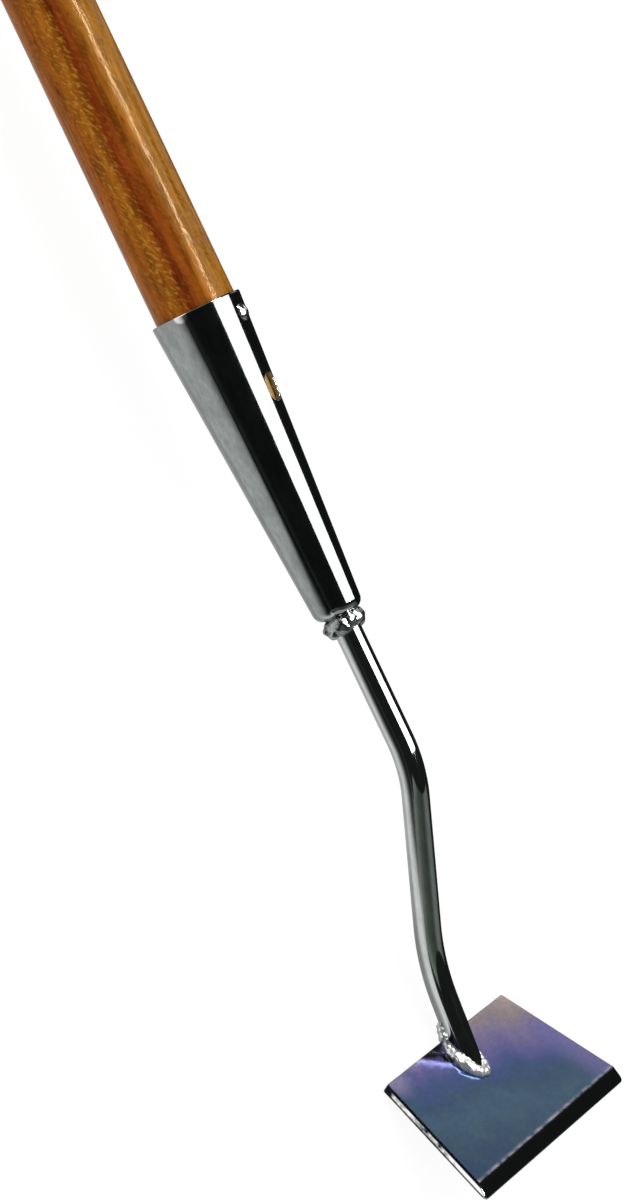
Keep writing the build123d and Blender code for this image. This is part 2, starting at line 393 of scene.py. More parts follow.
def polished_steel(name, dark, pale, roughness, ripple, ripple_width, speckle=0.0, metal=1.0, nose=None, spot=None):
    """Polished stainless steel: a dark mirror, faintly clouded where the polishing mop has dragged; it can also carry a
    painted reflection on the socket's nose and a painted highlight on its rim.
    """
    material, tree = new_material(name)
    point = local_point(tree, tool_place())
    cloud = add_node(
        tree, "ShaderNodeTexNoise", {}, {"Vector": stretched(tree, point, (90, 260, 260)), "Scale": 1.0, "Detail": 4.0}
    )
    tone = add_node(tree, "ShaderNodeValToRGB", {}, {"Fac": cloud.outputs["Fac"]})
    set_stops(tone, [(0.34, dark), (0.66, pale)])
    # specks of about 0.8 mm that the polish has left
    speck = add_node(
        tree, "ShaderNodeTexNoise", {}, {"Vector": stretched(tree, point, (420, 900, 900)), "Scale": 1.0, "Detail": 3.0}
    )
    speck_tone = add_node(tree, "ShaderNodeValToRGB", {}, {"Fac": speck.outputs["Fac"]})
    set_stops(speck_tone, [(0.34, 0.74), (0.50, 0.98), (0.62, 1.10), (0.72, 1.5)])
    colour = add_node(
        tree,
        "ShaderNodeMix",
        {"data_type": "RGBA", "blend_type": "MULTIPLY"},
        {"Factor": speckle, 6: tone.outputs["Color"], 7: speck_tone.outputs["Color"]},
    ).outputs[2]
    if nose:
        # painted reflection: the drawn-in nose is lightened to pale grey on its near upper side, as if it mirrored a
        # grey card
        drawn = add_node(
            tree,
            "ShaderNodeMapRange",
            {"interpolation_type": "SMOOTHSTEP"},
            {"Value": axial(tree, point), "From Min": nose - 0.0032, "From Max": nose - 0.0012},
        )
        facing = add_node(tree, "ShaderNodeVectorMath", {"operation": "DOT_PRODUCT"}, {0: point, 1: (0, -0.87, 0.5)})
        upper = add_node(
            tree,
            "ShaderNodeMapRange",
            {"interpolation_type": "SMOOTHSTEP", "data_type": "FLOAT"},
            {"Value": facing.outputs["Value"], "From Min": 0.0045, "From Max": 0.0075},
        )
        painted_nose_reflection = add_node(tree, "ShaderNodeMath", {"operation": "MULTIPLY"}, {0: drawn.outputs[0], 1: upper.outputs[0]})
        colour = add_node(
            tree, "ShaderNodeMix", {"data_type": "RGBA"}, {"Factor": painted_nose_reflection.outputs[0], 6: colour, 7: linear("B4B6B4")}
        ).outputs[2]
    if spot:
        # painted highlight: a near-white patch, 2 to 3 mm across, on the socket's rim
        away = add_node(tree, "ShaderNodeVectorMath", {"operation": "DISTANCE"}, {0: point, 1: spot})
        painted_rim_highlight = add_node(
            tree,
            "ShaderNodeMapRange",
            {"interpolation_type": "SMOOTHSTEP"},
            {"Value": away.outputs["Value"], "From Min": 0.0020, "From Max": 0.0030, "To Min": 1.0, "To Max": 0.0},
        )
        colour = add_node(
            tree, "ShaderNodeMix", {"data_type": "RGBA"}, {"Factor": painted_rim_highlight.outputs[0], 6: colour, 7: linear("F6F6F4")}
        ).outputs[2]
    gloss = add_node(
        tree,
        "ShaderNodeMapRange",
        {},
        {"Value": cloud.outputs["Fac"], "To Min": roughness * 0.6, "To Max": roughness * 1.4},
    )
    waves = add_node(
        tree,
        "ShaderNodeTexNoise",
        {},
        {"Vector": stretched(tree, point, (0.4 / ripple_width, 1 / ripple_width, 1 / ripple_width)), "Scale": 1.0},
    )
    bump = add_node(
        tree, "ShaderNodeBump", {}, {"Height": waves.outputs["Fac"], "Strength": ripple, "Distance": 0.0002}
    )
    shader = add_node(
        tree,
        "ShaderNodeBsdfPrincipled",
        {},
        {"Base Color": colour, "Metallic": metal, "Roughness": gloss.outputs[0], "Normal": bump.outputs["Normal"]},
    )
    add_node(tree, "ShaderNodeOutputMaterial", {}, {"Surface": shader.outputs[0]})
    return material


def heat_tinted_blade_with_painted_reflection(blade):
    """Ground and polished steel plate with blue and purple colour on its top face: part the tint that welding heat
    leaves, part a painted reflection.
    """
    material, tree = new_material("polished_blade")
    point = local_point(tree, blade_place(blade.depth, blade.thickness))
    parts = add_node(tree, "ShaderNodeSeparateXYZ", {}, {"Vector": point})
    # the colour, part heat tint and part painted reflection, runs from the far back corner to the near front one
    slant = add_node(
        tree,
        "ShaderNodeVectorMath",
        {"operation": "DOT_PRODUCT"},
        {0: point, 1: (0.62 / blade.depth, -0.38 / blade.front_width, 0.0)},
    )
    cloud = add_node(
        tree, "ShaderNodeTexNoise", {}, {"Vector": stretched(tree, point, (48, 48, 48)), "Scale": 1.0, "Detail": 4.0}
    )
    uneven = add_node(tree, "ShaderNodeMapRange", {}, {"Value": cloud.outputs["Fac"], "To Min": 0.04, "To Max": 0.34})
    along = add_node(tree, "ShaderNodeMath", {"operation": "ADD"}, {0: slant.outputs["Value"], 1: uneven.outputs[0]})
    tint_and_painted_reflection = add_node(tree, "ShaderNodeValToRGB", {}, {"Fac": along.outputs[0]})
    set_stops(
        tint_and_painted_reflection,
        [
            (0.02, "B09E98"),
            (0.14, "8E8084"),
            (0.22, "7C7292"),
            (0.31, "605C90"),
            (0.40, "3F517F"),
            (0.50, "374F6B"),
            (0.62, "415A71"),
            (0.76, "374E65"),
            (0.95, "304563"),
        ],
    )
    # the mauve by the near back corner and the purple along the far side are more of the same heat tint and painted
    # reflection
    corner = add_node(
        tree, "ShaderNodeVectorMath", {"operation": "DISTANCE"}, {0: point, 1: (0.0, 0.004 - blade.back_width / 2, 0.0)}
    )
    near_corner = add_node(
        tree,
        "ShaderNodeMapRange",
        {"interpolation_type": "SMOOTHSTEP"},
        {"Value": corner.outputs["Value"], "From Min": 0.002, "From Max": 0.0108, "To Min": 0.9, "To Max": 0.0},
    )
    tinted = add_node(
        tree,
        "ShaderNodeMix",
        {"data_type": "RGBA"},
        {"Factor": near_corner.outputs[0], 6: tint_and_painted_reflection.outputs["Color"], 7: linear("8680A0")},
    )
    # distance in from the nearest slanted side, and which side that is
    spread = (blade.front_width - blade.back_width) / 2 / blade.depth
    half = add_node(
        tree,
        "ShaderNodeMath",
        {"operation": "MULTIPLY_ADD"},
        {0: parts.outputs["X"], 1: spread, 2: blade.back_width / 2},
    )
    sideways = add_node(tree, "ShaderNodeMath", {"operation": "ABSOLUTE"}, {0: parts.outputs["Y"]})
    inward = add_node(tree, "ShaderNodeMath", {"operation": "SUBTRACT"}, {0: half.outputs[0], 1: sideways.outputs[0]})
    far_side = add_node(tree, "ShaderNodeMath", {"operation": "GREATER_THAN"}, {0: parts.outputs["Y"], 1: 0.0})
    purple = add_node(
        tree,
        "ShaderNodeMapRange",
        {"interpolation_type": "SMOOTHSTEP"},
        {"Value": inward.outputs[0], "From Min": 0.001, "From Max": 0.020, "To Min": 0.95, "To Max": 0.0},
    )
    purple_far = add_node(
        tree, "ShaderNodeMath", {"operation": "MULTIPLY"}, {0: purple.outputs[0], 1: far_side.outputs[0]}
    )
    away_from_back = add_node(
        tree,
        "ShaderNodeMapRange",
        {"interpolation_type": "SMOOTHSTEP"},
        {"Value": parts.outputs["X"], "From Min": 0.008, "From Max": 0.022},
    )
    purple_zone = add_node(
        tree, "ShaderNodeMath", {"operation": "MULTIPLY"}, {0: purple_far.outputs[0], 1: away_from_back.outputs[0]}
    )
    edged = add_node(
        tree,
        "ShaderNodeMix",
        {"data_type": "RGBA"},
        {"Factor": purple_zone.outputs[0], 6: tinted.outputs[2], 7: linear("716CA0")},
    )
    # greener patches, about 8 mm wide
    patch = add_node(
        tree, "ShaderNodeTexNoise", {}, {"Vector": stretched(tree, point, (110, 110, 110)), "Scale": 1.0, "Detail": 2.0}
    )
    patch_depth = add_node(
        tree, "ShaderNodeMapRange", {}, {"Value": patch.outputs["Fac"], "From Min": 0.45, "From Max": 0.75, "To Max": 0.3}
    )
    patched = add_node(
        tree,
        "ShaderNodeMix",
        {"data_type": "RGBA"},
        {"Factor": patch_depth.outputs[0], 6: edged.outputs[2], 7: linear("4C6A6C")},
    )
    only_teal = add_node(
        tree, "ShaderNodeMapRange", {}, {"Value": along.outputs[0], "From Min": 0.36, "From Max": 0.50}
    )
    edged = add_node(
        tree,
        "ShaderNodeMix",
        {"data_type": "RGBA"},
        {"Factor": only_teal.outputs[0], 6: edged.outputs[2], 7: patched.outputs[2]},
    )
    # painted reflection and shade beside the heel: near-black patches, one along the back edge and one by the weld,
    # stand in for the dark bar mirrored in the blade and its shade
    scaled = edged
    for (x, y), squeeze, reach in (((0.0004, -0.0125), 0.42, 0.0030), ((0.0062, -0.0088), 1.0, 0.0030)):
        distance = add_node(
            tree,
            "ShaderNodeVectorMath",
            {"operation": "DISTANCE"},
            {0: stretched(tree, point, (1.0, squeeze, 0.0)), 1: (x, y * squeeze, 0.0)},
        )
        painted_bar_reflection = add_node(
            tree,
            "ShaderNodeMapRange",
            {"interpolation_type": "SMOOTHSTEP"},
            {"Value": distance.outputs["Value"], "From Min": reach * 0.6, "From Max": reach * 1.25, "To Min": 0.96, "To Max": 0.0},
        )
        scaled = add_node(
            tree,
            "ShaderNodeMix",
            {"data_type": "RGBA"},
            {"Factor": painted_bar_reflection.outputs[0], 6: scaled.outputs[2], 7: linear("101418")},
        )
    fine = add_node(
        tree, "ShaderNodeTexNoise", {}, {"Vector": stretched(tree, point, (700, 300, 300)), "Scale": 1.0, "Detail": 3.0}
    )
    fine_tone = add_node(tree, "ShaderNodeValToRGB", {}, {"Fac": fine.outputs["Fac"]})
    set_stops(fine_tone, [(0.35, 0.86), (0.65, 1.14)])
    face = add_node(
        tree,
        "ShaderNodeMix",
        {"data_type": "RGBA", "blend_type": "MULTIPLY"},
        {"Factor": 0.6, 6: scaled.outputs[2], 7: fine_tone.outputs["Color"]},
    )
    # the film lies on the top face only; the bevel and the underside are bare and dark with scale
    top = add_node(
        tree, "ShaderNodeMapRange", {}, {"Value": parts.outputs["Z"], "From Min": -0.00012, "From Max": -0.00004}
    )
    colour = add_node(
        tree,
        "ShaderNodeMix",
        {"data_type": "RGBA"},
        {"Factor": top.outputs[0], 6: linear("A4A6AA"), 7: face.outputs[2]},
    )
    # a pale broken line is painted where the bevel meets the face
    to_bevel = add_node(
        tree, "ShaderNodeMath", {"operation": "SUBTRACT"}, {0: parts.outputs["X"], 1: blade.depth - blade.bevel}
    )
    bevel_gap = add_node(tree, "ShaderNodeMath", {"operation": "ABSOLUTE"}, {0: to_bevel.outputs[0]})
    line = add_node(
        tree,
        "ShaderNodeMapRange",
        {},
        {"Value": bevel_gap.outputs[0], "From Min": 0.0002, "From Max": 0.0016, "To Min": 0.9, "To Max": 0.0},
    )
    line_breaks = add_node(
        tree, "ShaderNodeTexNoise", {}, {"Vector": stretched(tree, point, (260, 200, 260)), "Scale": 1.0, "Detail": 3.0}
    )
    broken = add_node(
        tree, "ShaderNodeMapRange", {}, {"Value": line_breaks.outputs["Fac"], "From Min": 0.32, "From Max": 0.66}
    )
    line_here = add_node(tree, "ShaderNodeMath", {"operation": "MULTIPLY"}, {0: line.outputs[0], 1: broken.outputs[0]})
    lined = add_node(
        tree,
        "ShaderNodeMix",
        {"data_type": "RGBA"},
        {"Factor": line_here.outputs[0], 6: colour.outputs[2], 7: linear("C4BAC6")},
    )
    # painted highlight and shade on the sheared sides: on the near side a bright band between painted dark lines, and a
    # pale far side
    height = add_node(
        tree, "ShaderNodeMapRange", {}, {"Value": parts.outputs["Z"], "From Min": -blade.thickness, "From Max": 0.0}
    )
    painted_near_side_bands = add_node(tree, "ShaderNodeValToRGB", {}, {"Fac": height.outputs[0]})
    set_stops(
        painted_near_side_bands,
        [
            (0.00, "A2A4A4"),
            (0.12, "8E9090"),
            (0.17, "1A1C1C"),
            (0.24, "1C1E1E"),
            (0.31, "FAFAFA"),
            (0.66, "FAFAFA"),
            (0.75, "0C1014"),
            (1.00, "0C1014"),
        ],
    )
    # the painted bright band starts behind the back corner, is patchy along the middle and full at the front
    forward = add_node(tree, "ShaderNodeMath", {"operation": "DIVIDE"}, {0: parts.outputs["X"], 1: blade.depth})
    full = add_node(tree, "ShaderNodeValToRGB", {}, {"Fac": forward.outputs[0]})
    set_stops(full, [(0.05, 0.0), (0.10, 0.75), (0.22, 0.70), (0.32, 0.35), (0.52, 0.35), (0.66, 0.8), (0.74, 1.0)])
    patches = add_node(
        tree, "ShaderNodeTexNoise", {}, {"Vector": stretched(tree, point, (420, 0, 420)), "Scale": 1.0, "Detail": 2.0}
    )
    patchy = add_node(
        tree, "ShaderNodeMapRange", {}, {"Value": patches.outputs["Fac"], "From Min": 0.3, "From Max": 0.7, "To Min": -0.5, "To Max": 0.5}
    )
    edge_dark = add_node(
        tree,
        "ShaderNodeMath",
        {"operation": "ADD", "use_clamp": True},
        {0: full.outputs["Color"], 1: patchy.outputs[0]},
    )
    always = add_node(
        tree, "ShaderNodeMapRange", {}, {"Value": forward.outputs[0], "From Min": 0.64, "From Max": 0.74}
    )
    shown = add_node(tree, "ShaderNodeMath", {"operation": "MAXIMUM"}, {0: edge_dark.outputs[0], 1: always.outputs[0]})
    past_corner = add_node(
        tree, "ShaderNodeMapRange", {}, {"Value": forward.outputs[0], "From Min": 0.05, "From Max": 0.09}
    )
    presence = add_node(tree, "ShaderNodeMath", {"operation": "MULTIPLY"}, {0: shown.outputs[0], 1: past_corner.outputs[0]})
    near_side = add_node(
        tree,
        "ShaderNodeMix",
        {"data_type": "RGBA"},
        {"Factor": presence.outputs[0], 6: linear("14181C"), 7: painted_near_side_bands.outputs["Color"]},
    )
    painted_side_faces = add_node(
        tree,
        "ShaderNodeMix",
        {"data_type": "RGBA"},
        {"Factor": far_side.outputs[0], 6: near_side.outputs[2], 7: linear("C9BEC4")},
    )
    at_side = add_node(
        tree,
        "ShaderNodeMapRange",
        {},
        {"Value": inward.outputs[0], "From Min": 0.00038, "From Max": 0.0006, "To Min": 1.0, "To Max": 0.0},
    )
    before_bevel = add_node(
        tree, "ShaderNodeMapRange", {}, {"Value": to_bevel.outputs[0], "From Min": 0.0034, "From Max": 0.0046, "To Min": 1.0, "To Max": 0.0}
    )
    side_here = add_node(
        tree, "ShaderNodeMath", {"operation": "MULTIPLY"}, {0: at_side.outputs[0], 1: before_bevel.outputs[0]}
    )
    finished = add_node(
        tree,
        "ShaderNodeMix",
        {"data_type": "RGBA"},
        {"Factor": side_here.outputs[0], 6: lined.outputs[2], 7: painted_side_faces.outputs[2]},
    )
    gloss = add_node(tree, "ShaderNodeMapRange", {}, {"Value": fine.outputs["Fac"], "To Min": 0.10, "To Max": 0.24})
    roughness = add_node(
        tree, "ShaderNodeMapRange", {}, {"Value": top.outputs[0], "To Min": 0.05, "To Max": gloss.outputs[0]}
    )
    # the film scatters part of the light, so its colour shows from every side
    metal = add_node(tree, "ShaderNodeMapRange", {}, {"Value": top.outputs[0], "To Min": 1.0, "To Max": 0.8})
    bump = add_node(
        tree, "ShaderNodeBump", {}, {"Height": cloud.outputs["Fac"], "Strength": 0.05, "Distance": 0.0004}
    )
    shader = add_node(
        tree,
        "ShaderNodeBsdfPrincipled",
        {},
        {
            "Base Color": finished.outputs[2],
            "Metallic": metal.outputs[0],
            "Specular IOR Level": 0.1,
            "Roughness": roughness.outputs[0],
            "Normal": bump.outputs["Normal"],
        },
    )
    add_node(tree, "ShaderNodeOutputMaterial", {}, {"Surface": shader.outputs[0]})
    return material


# Making pieces


def sharpen_and_seat(bm, name, node, material, place, smooth=32.0):
    """Turn a mesh drawn in a frame of the tool into the finished piece that stands for a CAD node."""
    bmesh.ops.transform(bm, matrix=place, verts=bm.verts)
    mesh = bpy.data.meshes.new(name)
    bm.to_mesh(mesh)
    bm.free()
    mesh.polygons.foreach_set("use_smooth", [True] * len(mesh.polygons))
    mesh.set_sharp_from_angle(angle=math.radians(smooth))
    mesh.materials.append(material)
    piece = bpy.data.objects.new(name, mesh)
    bpy.context.scene.collection.objects.link(piece)
    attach(piece, "root")
    if node:
        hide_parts(node)
    return piece


def weighted(piece):
    """Let the large faces set the shading, so a mirror finish stays true beside a rounded edge."""
    modifier = piece.modifiers.new("even shading", "WEIGHTED_NORMAL")
    modifier.weight = 100
    modifier.keep_sharp = True
    return modifier


def spun(outline, steps, closed):
    """Spin an outline of (distance, radius) pairs about the tool's long axis."""
    bm = bmesh.new()
    verts = [bm.verts.new((x, 0, radius)) for x, radius in outline]
    edges = [bm.edges.new(pair) for pair in zip(verts, verts[1:])]
    if closed:
        edges.append(bm.edges.new((verts[-1], verts[0])))
    bmesh.ops.spin(
        bm,
        geom=verts + edges,
        cent=(0, 0, 0),
        axis=(1, 0, 0),
        dvec=(0, 0, 0),
        angle=2 * math.pi,
        steps=steps,
        use_merge=True,
        use_duplicate=False,
    )
    bmesh.ops.remove_doubles(bm, verts=bm.verts, dist=1e-7)
    bmesh.ops.recalc_face_normals(bm, faces=bm.faces)
    return bm


def ring_edges(bm, x, radius):
    """The edges of one ring of a spun shape."""
    found = []
    for edge in bm.edges:
        if all(abs(v.co.x - x) < 1e-6 and abs(math.hypot(v.co.y, v.co.z) - radius) < 1e-6 for v in edge.verts):
            found.append(edge)
    return found


def round_ring(bm, x, radius, size, segments):
    """Round a ring of a spun shape."""
    bmesh.ops.bevel(
        bm,
        geom=ring_edges(bm, x, radius),
        offset=size,
        offset_type="OFFSET",
        affect="EDGES",
        segments=segments,
        profile=0.5,
        material=-1,
    )


def make_shaft(shaft, material):
    """The round shaft with its rounded butt and the taper that is hidden in the socket."""
    radius = shaft.diameter / 2
    tip = shaft.tip_diameter / 2
    bm = spun(
        [(-shaft.length, 0), (-shaft.length, radius), (0, radius), (shaft.tip_distance, tip), (shaft.tip_distance, 0)],
        128,
        False,
    )
    round_ring(bm, -shaft.length, radius, shaft.butt_round, 14)
    piece = sharpen_and_seat(bm, "shaft", "ash_shaft", material, tool_place())
    weighted(piece)
    return piece


def pin_side(socket):
    """The tool's frame turned so that Z points to the line of the pin and the slot."""
    return tool_place() @ Matrix.Rotation(-socket.pin_turn, 4, "X")


def socket_radius(socket, x):
    """Outside radius of the socket's taper at a distance from its mouth."""
    mouth, nose = socket.mouth_diameter / 2, socket.nose_diameter / 2
    return mouth + (nose - mouth) * x / socket.length


def make_socket(socket, bar_radius, material):
    """The tapered tube: rounded rim, drawn-in nose, the bore and the oblong slot."""
    length, wall = socket.length, socket.wall
    mouth, nose = socket.mouth_diameter / 2, socket.nose_diameter / 2
    bore_end = length - wall
    inner_end = socket_radius(socket, bore_end) - wall
    hole = bar_radius + 0.0001
    bm = spun(
        [
            (0, mouth),
            (length, nose),
            (length, hole),
            (bore_end, hole),
            (bore_end, inner_end),
            (0, mouth - wall),
        ],
        224,
        True,
    )
    round_ring(bm, length, nose, socket.nose_round * 0.93, 18)
    round_ring(bm, bore_end, inner_end, socket.nose_round / 2, 6)
    round_ring(bm, 0, mouth, 0.0006, 6)
    round_ring(bm, 0, mouth - wall, 0.0006, 6)
    piece = sharpen_and_seat(bm, "tapered_socket", "socket", material, tool_place())
    cutter = make_slot_cutter(socket)
    cut = piece.modifiers.new("slot", "BOOLEAN")
    cut.operation = "DIFFERENCE"
    cut.solver = "EXACT"
    cut.object = cutter
    weighted(piece)
    apply_modifiers(piece)
    bpy.data.objects.remove(cutter)
    return piece


def apply_modifiers(piece):
    """Make the modifiers' result the piece's own mesh."""
    shaped = piece.evaluated_get(bpy.context.evaluated_depsgraph_get())
    mesh = bpy.data.meshes.new_from_object(shaped)
    piece.modifiers.clear()
    old = piece.data
    piece.data = mesh
    bpy.data.meshes.remove(old)


def make_slot_cutter(socket):
    """A block with round ends that cuts the oblong slot from above."""
    bm = bmesh.new()
    bmesh.ops.create_cube(bm, size=1)
    tall = 0.012
    bmesh.ops.scale(bm, vec=(socket.slot_length, socket.slot_width, tall), verts=bm.verts)
    upright = [edge for edge in bm.edges if abs(edge.verts[0].co.z - edge.verts[1].co.z) > tall / 2]
    bmesh.ops.bevel(
        bm,
        geom=upright,
        offset=socket.slot_width / 2 * 0.998,
        offset_type="OFFSET",
        affect="EDGES",
        segments=12,
        profile=0.5,
        material=-1,
    )
    bmesh.ops.translate(bm, vec=(socket.slot_distance, 0, 0.0105 + tall / 2), verts=bm.verts)
    bmesh.ops.transform(bm, matrix=pin_side(socket), verts=bm.verts)
    mesh = bpy.data.meshes.new("slot_cutter")
    bm.to_mesh(mesh)
    bm.free()
    cutter = bpy.data.objects.new("slot_cutter", mesh)
    bpy.context.scene.collection.objects.link(cutter)
    cutter.hide_render = True
    return cutter


def make_slot_lip(socket, material):
    """The burr that punching leaves round the slot, a thin rounded rim."""
    straight = (socket.slot_length - socket.slot_width) / 2
    radius = socket.slot_width / 2
    points = []
    for step in range(48):
        turn = 2 * math.pi * step / 48
        x = socket.slot_distance + radius * math.cos(turn) + math.copysign(straight, math.cos(turn))
        y = radius * math.sin(turn)
        points.append(Vector((x, y, math.sqrt(socket_radius(socket, x) ** 2 - y**2) - 0.00013)))
    curve = bpy.data.curves.new("slot_lip", "CURVE")
    curve.dimensions = "3D"
    curve.bevel_depth = 0.00013
    curve.bevel_resolution = 3
    spline = curve.splines.new("POLY")
    spline.points.add(len(points) - 1)
    for control, point in zip(spline.points, points):
        control.co = (*(pin_side(socket) @ point), 1)
    spline.use_cyclic_u = True
    source = bpy.data.objects.new("slot_lip_line", curve)
    bpy.context.scene.collection.objects.link(source)
    mesh = bpy.data.meshes.new_from_object(source.evaluated_get(bpy.context.evaluated_depsgraph_get()))
    bpy.data.objects.remove(source)
    mesh.materials.clear()
    mesh.materials.append(material)
    mesh.polygons.foreach_set("use_smooth", [True] * len(mesh.polygons))
    lip = bpy.data.objects.new("slot_lip", mesh)
    bpy.context.scene.collection.objects.link(lip)
    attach(lip, "root")
    return lip


def make_pin(socket, material):
    """The domed pin, with a short shank that fills its hole."""
    radius, height = socket.pin_diameter / 2, socket.pin_height
    ball = (height**2 + radius**2) / (2 * height)
    outline = [(height, 0)]
    for step in range(1, 17):
        side = radius * step / 16
        outline.append((height - ball + math.sqrt(ball**2 - side**2), side))
    outline += [(-0.0003, radius), (-0.0003, 0.0013), (-0.0150, 0.0013), (-0.0150, 0)]
    bm = spun(outline, 64, False)
    seat = socket_radius(socket, socket.pin_distance)
    upright = Matrix.Translation((socket.pin_distance, 0, seat)) @ Matrix.Rotation(-math.pi / 2, 4, "Y")
    return sharpen_and_seat(bm, "domed_pin", "socket_pin", material, pin_side(socket) @ upright)


def make_neck(neck, blade, socket_length, material):
    """The bent bar: straight runs drawn out and bends spun, cut at a slant by the blade's top face."""
    bm = bmesh.new()
    radius = neck.diameter / 2
    circle = bmesh.ops.create_circle(bm, cap_ends=True, radius=radius, segments=96)
    start = Matrix.Translation((socket_length - neck.hidden, 0, 0)) @ Matrix.Rotation(math.pi / 2, 4, "Y")
    bmesh.ops.transform(bm, matrix=start, verts=circle["verts"])
    end = list(bm.faces)
    way = Vector((1, 0, 0))
    upper_cut = neck.upper_bend * math.tan(neck.upper_drop / 2)
    lower_turn = neck.upper_drop - neck.foot_drop
    lower_cut = neck.lower_bend * math.tan(lower_turn / 2)

    def draw_out(faces, length, pieces):
        for _ in range(pieces):
            made = bmesh.ops.extrude_face_region(bm, geom=faces)
            verts = [item for item in made["geom"] if isinstance(item, bmesh.types.BMVert)]
            bmesh.ops.translate(bm, vec=way * length / pieces, verts=verts)
            bmesh.ops.delete(bm, geom=faces, context="FACES_ONLY")
            faces = [item for item in made["geom"] if isinstance(item, bmesh.types.BMFace)]
        return faces

    def bend(faces, turn, centre, steps):
        for _ in range(steps):
            made = bmesh.ops.extrude_face_region(bm, geom=faces)
            verts = [item for item in made["geom"] if isinstance(item, bmesh.types.BMVert)]
            bmesh.ops.rotate(bm, cent=centre, matrix=Matrix.Rotation(turn / steps, 3, "Y"), verts=verts)
            bmesh.ops.delete(bm, geom=faces, context="FACES_ONLY")
            faces = [item for item in made["geom"] if isinstance(item, bmesh.types.BMFace)]
        return faces

    end = draw_out(end, neck.hidden + neck.upper_run - upper_cut, 4)
    here = Vector((socket_length + neck.upper_run - upper_cut, 0, 0))
    end = bend(end, neck.upper_drop, here - Vector((0, 0, neck.upper_bend)), 40)
    way = Vector((math.cos(neck.upper_drop), 0, -math.sin(neck.upper_drop)))
    corner = Vector((socket_length + neck.upper_run, 0, 0))
    end = draw_out(end, neck.middle_run - upper_cut - lower_cut, 4)
    here = corner + way * (neck.middle_run - lower_cut)
    outward = Vector((math.sin(neck.upper_drop), 0, math.cos(neck.upper_drop)))
    end = bend(end, -lower_turn, here + outward * neck.lower_bend, 40)
    way = Vector((math.cos(neck.foot_drop), 0, -math.sin(neck.foot_drop)))
    draw_out(end, neck.lower_run - lower_cut + 0.016, 4)
    bmesh.ops.transform(bm, matrix=tool_place(), verts=bm.verts)
    top = blade_place(blade.depth, blade.thickness)
    everything = list(bm.verts) + list(bm.edges) + list(bm.faces)
    cut = bmesh.ops.bisect_plane(
        bm,
        geom=everything,
        plane_co=top.translation,
        plane_no=-(top.to_3x3() @ Vector((0, 0, 1))),
        clear_outer=True,
    )
    rim = [item for item in cut["geom_cut"] if isinstance(item, bmesh.types.BMEdge)]
    bmesh.ops.edgeloop_fill(bm, edges=rim)
    bmesh.ops.recalc_face_normals(bm, faces=bm.faces)
    return sharpen_and_seat(bm, "swan_neck_bar", "swan_neck", material, Matrix.Identity(4))


def make_blade(blade, material):
    """The trapezoid plate: rounded corners, a ground bevel along the front and broken edges."""
    bm = bmesh.new()
    outline = [
        bm.verts.new((0, -blade.back_width / 2, 0)),
        bm.verts.new((blade.depth, -blade.front_width / 2, 0)),
        bm.verts.new((blade.depth, blade.front_width / 2, 0)),
        bm.verts.new((0, blade.back_width / 2, 0)),
    ]
    face = bm.faces.new(outline)
    made = bmesh.ops.extrude_face_region(bm, geom=[face])
    lower = [item for item in made["geom"] if isinstance(item, bmesh.types.BMVert)]
    bmesh.ops.translate(bm, vec=(0, 0, -blade.thickness), verts=lower)
    bmesh.ops.recalc_face_normals(bm, faces=bm.faces)
    for at_front, size, segments in ((True, blade.front_round, 10), (False, blade.back_round, 6)):
        upright = [
            edge
            for edge in bm.edges
            if abs(edge.verts[0].co.z - edge.verts[1].co.z) > blade.thickness / 2
            and (edge.verts[0].co.x > blade.depth * 0.9) == at_front
            and len(edge.link_faces) == 2
            and (edge.verts[0].co.x > blade.depth * 0.9 or edge.verts[0].co.x < blade.depth * 0.05)
        ]
        bmesh.ops.bevel(
            bm,
            geom=upright,
            offset=size,
            offset_type="OFFSET",
            affect="EDGES",
            segments=segments,
            profile=0.5,
            material=-1,
        )
    slope = Vector((blade.thickness - blade.land, 0, blade.bevel)).normalized()
    cut = bmesh.ops.bisect_plane(
        bm,
        geom=list(bm.verts) + list(bm.edges) + list(bm.faces),
        plane_co=(blade.depth - blade.bevel, 0, 0),
        plane_no=slope,
        clear_outer=True,
    )
    rim = [item for item in cut["geom_cut"] if isinstance(item, bmesh.types.BMEdge)]
    bmesh.ops.edgeloop_fill(bm, edges=rim)
    bmesh.ops.recalc_face_normals(bm, faces=bm.faces)
    crisp = [edge for edge in bm.edges if len(edge.link_faces) == 2 and edge.calc_face_angle() > math.radians(22)]
    bmesh.ops.bevel(
        bm,
        geom=crisp,
        offset=blade.edge_break,
        offset_type="OFFSET",
        affect="EDGES",
        segments=4,
        profile=0.5,
        material=-1,
        clamp_overlap=True,
    )
    piece = sharpen_and_seat(
        bm, "blade_plate", "blade", material, blade_place(blade.depth, blade.thickness)
    )
    weighted(piece)
    return piece


